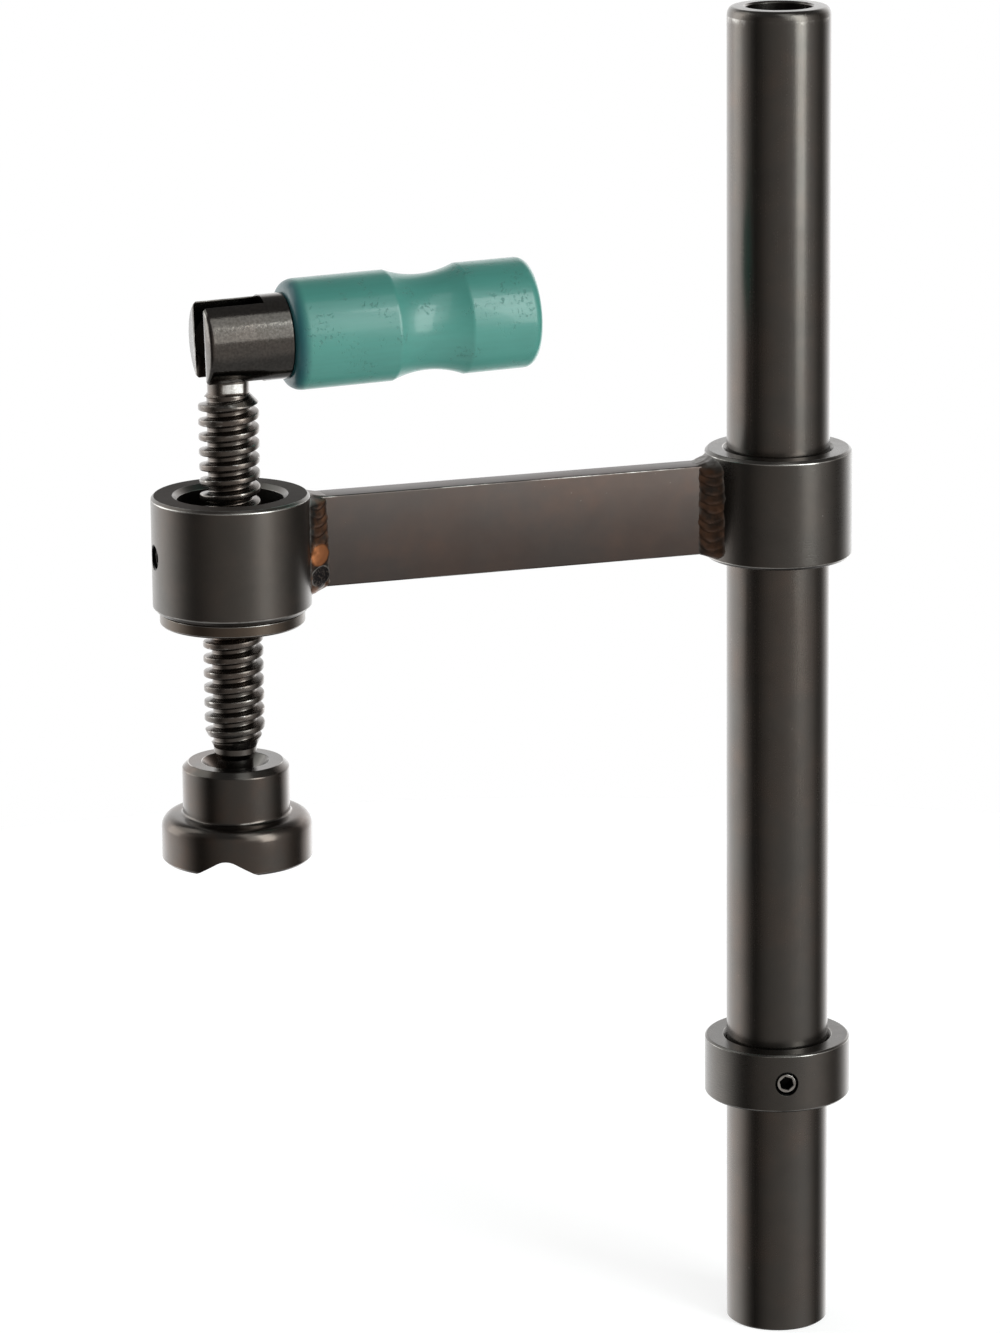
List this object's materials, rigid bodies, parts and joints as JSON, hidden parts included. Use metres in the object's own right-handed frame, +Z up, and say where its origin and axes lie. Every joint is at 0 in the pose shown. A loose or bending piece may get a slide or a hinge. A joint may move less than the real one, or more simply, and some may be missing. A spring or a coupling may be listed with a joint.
{
  "type": "vertical swing clamp",
  "caption": "Clamp on a round post for a bored welding table: a swinging arm that slides on the post, a threaded spindle with a folding wooden handle, and a grooved swivel pad.",
  "frame": {"origin": "on the post's axis in the plane of the stop collar's underside, which rests on the table", "axes": "+Z up the post, the arm reaches along -X to the spindle, +Y to the back"},
  "size_m": [0.195, 0.042, 0.3695],
  "materials": {
    "black_steel": "satin black oxide",
    "black_screw": "black oxide",
    "weld_metal": "heat tinted",
    "bare_steel": "turned",
    "lacquered_wood": "gloss lacquer"
  },
  "bodies": {
    "stop_collar": {"stop_collar": "black_steel"},
    "stop_screw": {"stop_collar_screw": "black_screw"},
    "post": {"post_tube": "black_steel"},
    "arm": {"arm_collar": "black_steel", "arm_bar": "black_steel", "spindle_boss": "black_steel", "collar_weld_front": "weld_metal", "collar_weld_back": "weld_metal", "boss_weld_front": "weld_metal", "boss_weld_back": "weld_metal", "threaded_bush": "bare_steel", "bush_set_screw": "black_screw"},
    "snap_ring": {"snap_ring": "bare_steel"},
    "spindle": {"spindle": "black_steel"},
    "handle": {"handle_fork": "black_steel", "fork_pin": "bare_steel", "handle_grip": "lacquered_wood"},
    "pad": {"pressure_pad": "black_steel"}
  },
  "joints": [
    {"name": "post_swing", "type": "hinge", "parent": "stop_collar", "child": "post", "pos_m": [0, 0, 0], "axis": [0, 0, 1], "continuous": true},
    {"name": "stop_screw_turn", "type": "hinge", "parent": "stop_collar", "child": "stop_screw", "pos_m": [-0.00382, -0.01656, 0.00825], "axis": [-0.225, -0.9744, 0], "range_deg": [0, 720]},
    {"name": "arm_slide", "type": "slide", "parent": "post", "child": "arm", "axis": [0, 0, 1], "range_m": [-0.135, 0.118]},
    {"name": "spindle_feed", "type": "slide", "parent": "arm", "child": "snap_ring", "axis": [0, 0, 1], "range_m": [-0.014, 0.033]},
    {"name": "spindle_turn", "type": "hinge", "parent": "snap_ring", "child": "spindle", "pos_m": [-0.154, 0, 0.0983], "axis": [0, 0, 1], "range_deg": [-1260, 2970]},
    {"name": "handle_fold", "type": "hinge", "parent": "spindle", "child": "handle", "pos_m": [-0.154, 0, 0.2233], "axis": [0, -1, 0], "range_deg": [-7.5, 184.5]},
    {"name": "pad_tilt", "type": "hinge", "parent": "snap_ring", "child": "pad", "pos_m": [-0.154, 0, 0.0983], "axis": [0, 1, 0], "range_deg": [-5, 5]}
  ],
  "couplings": [
    {"joint": "spindle_feed", "follows": "spindle_turn", "m_per_rad": 0.00063662}
  ]
}
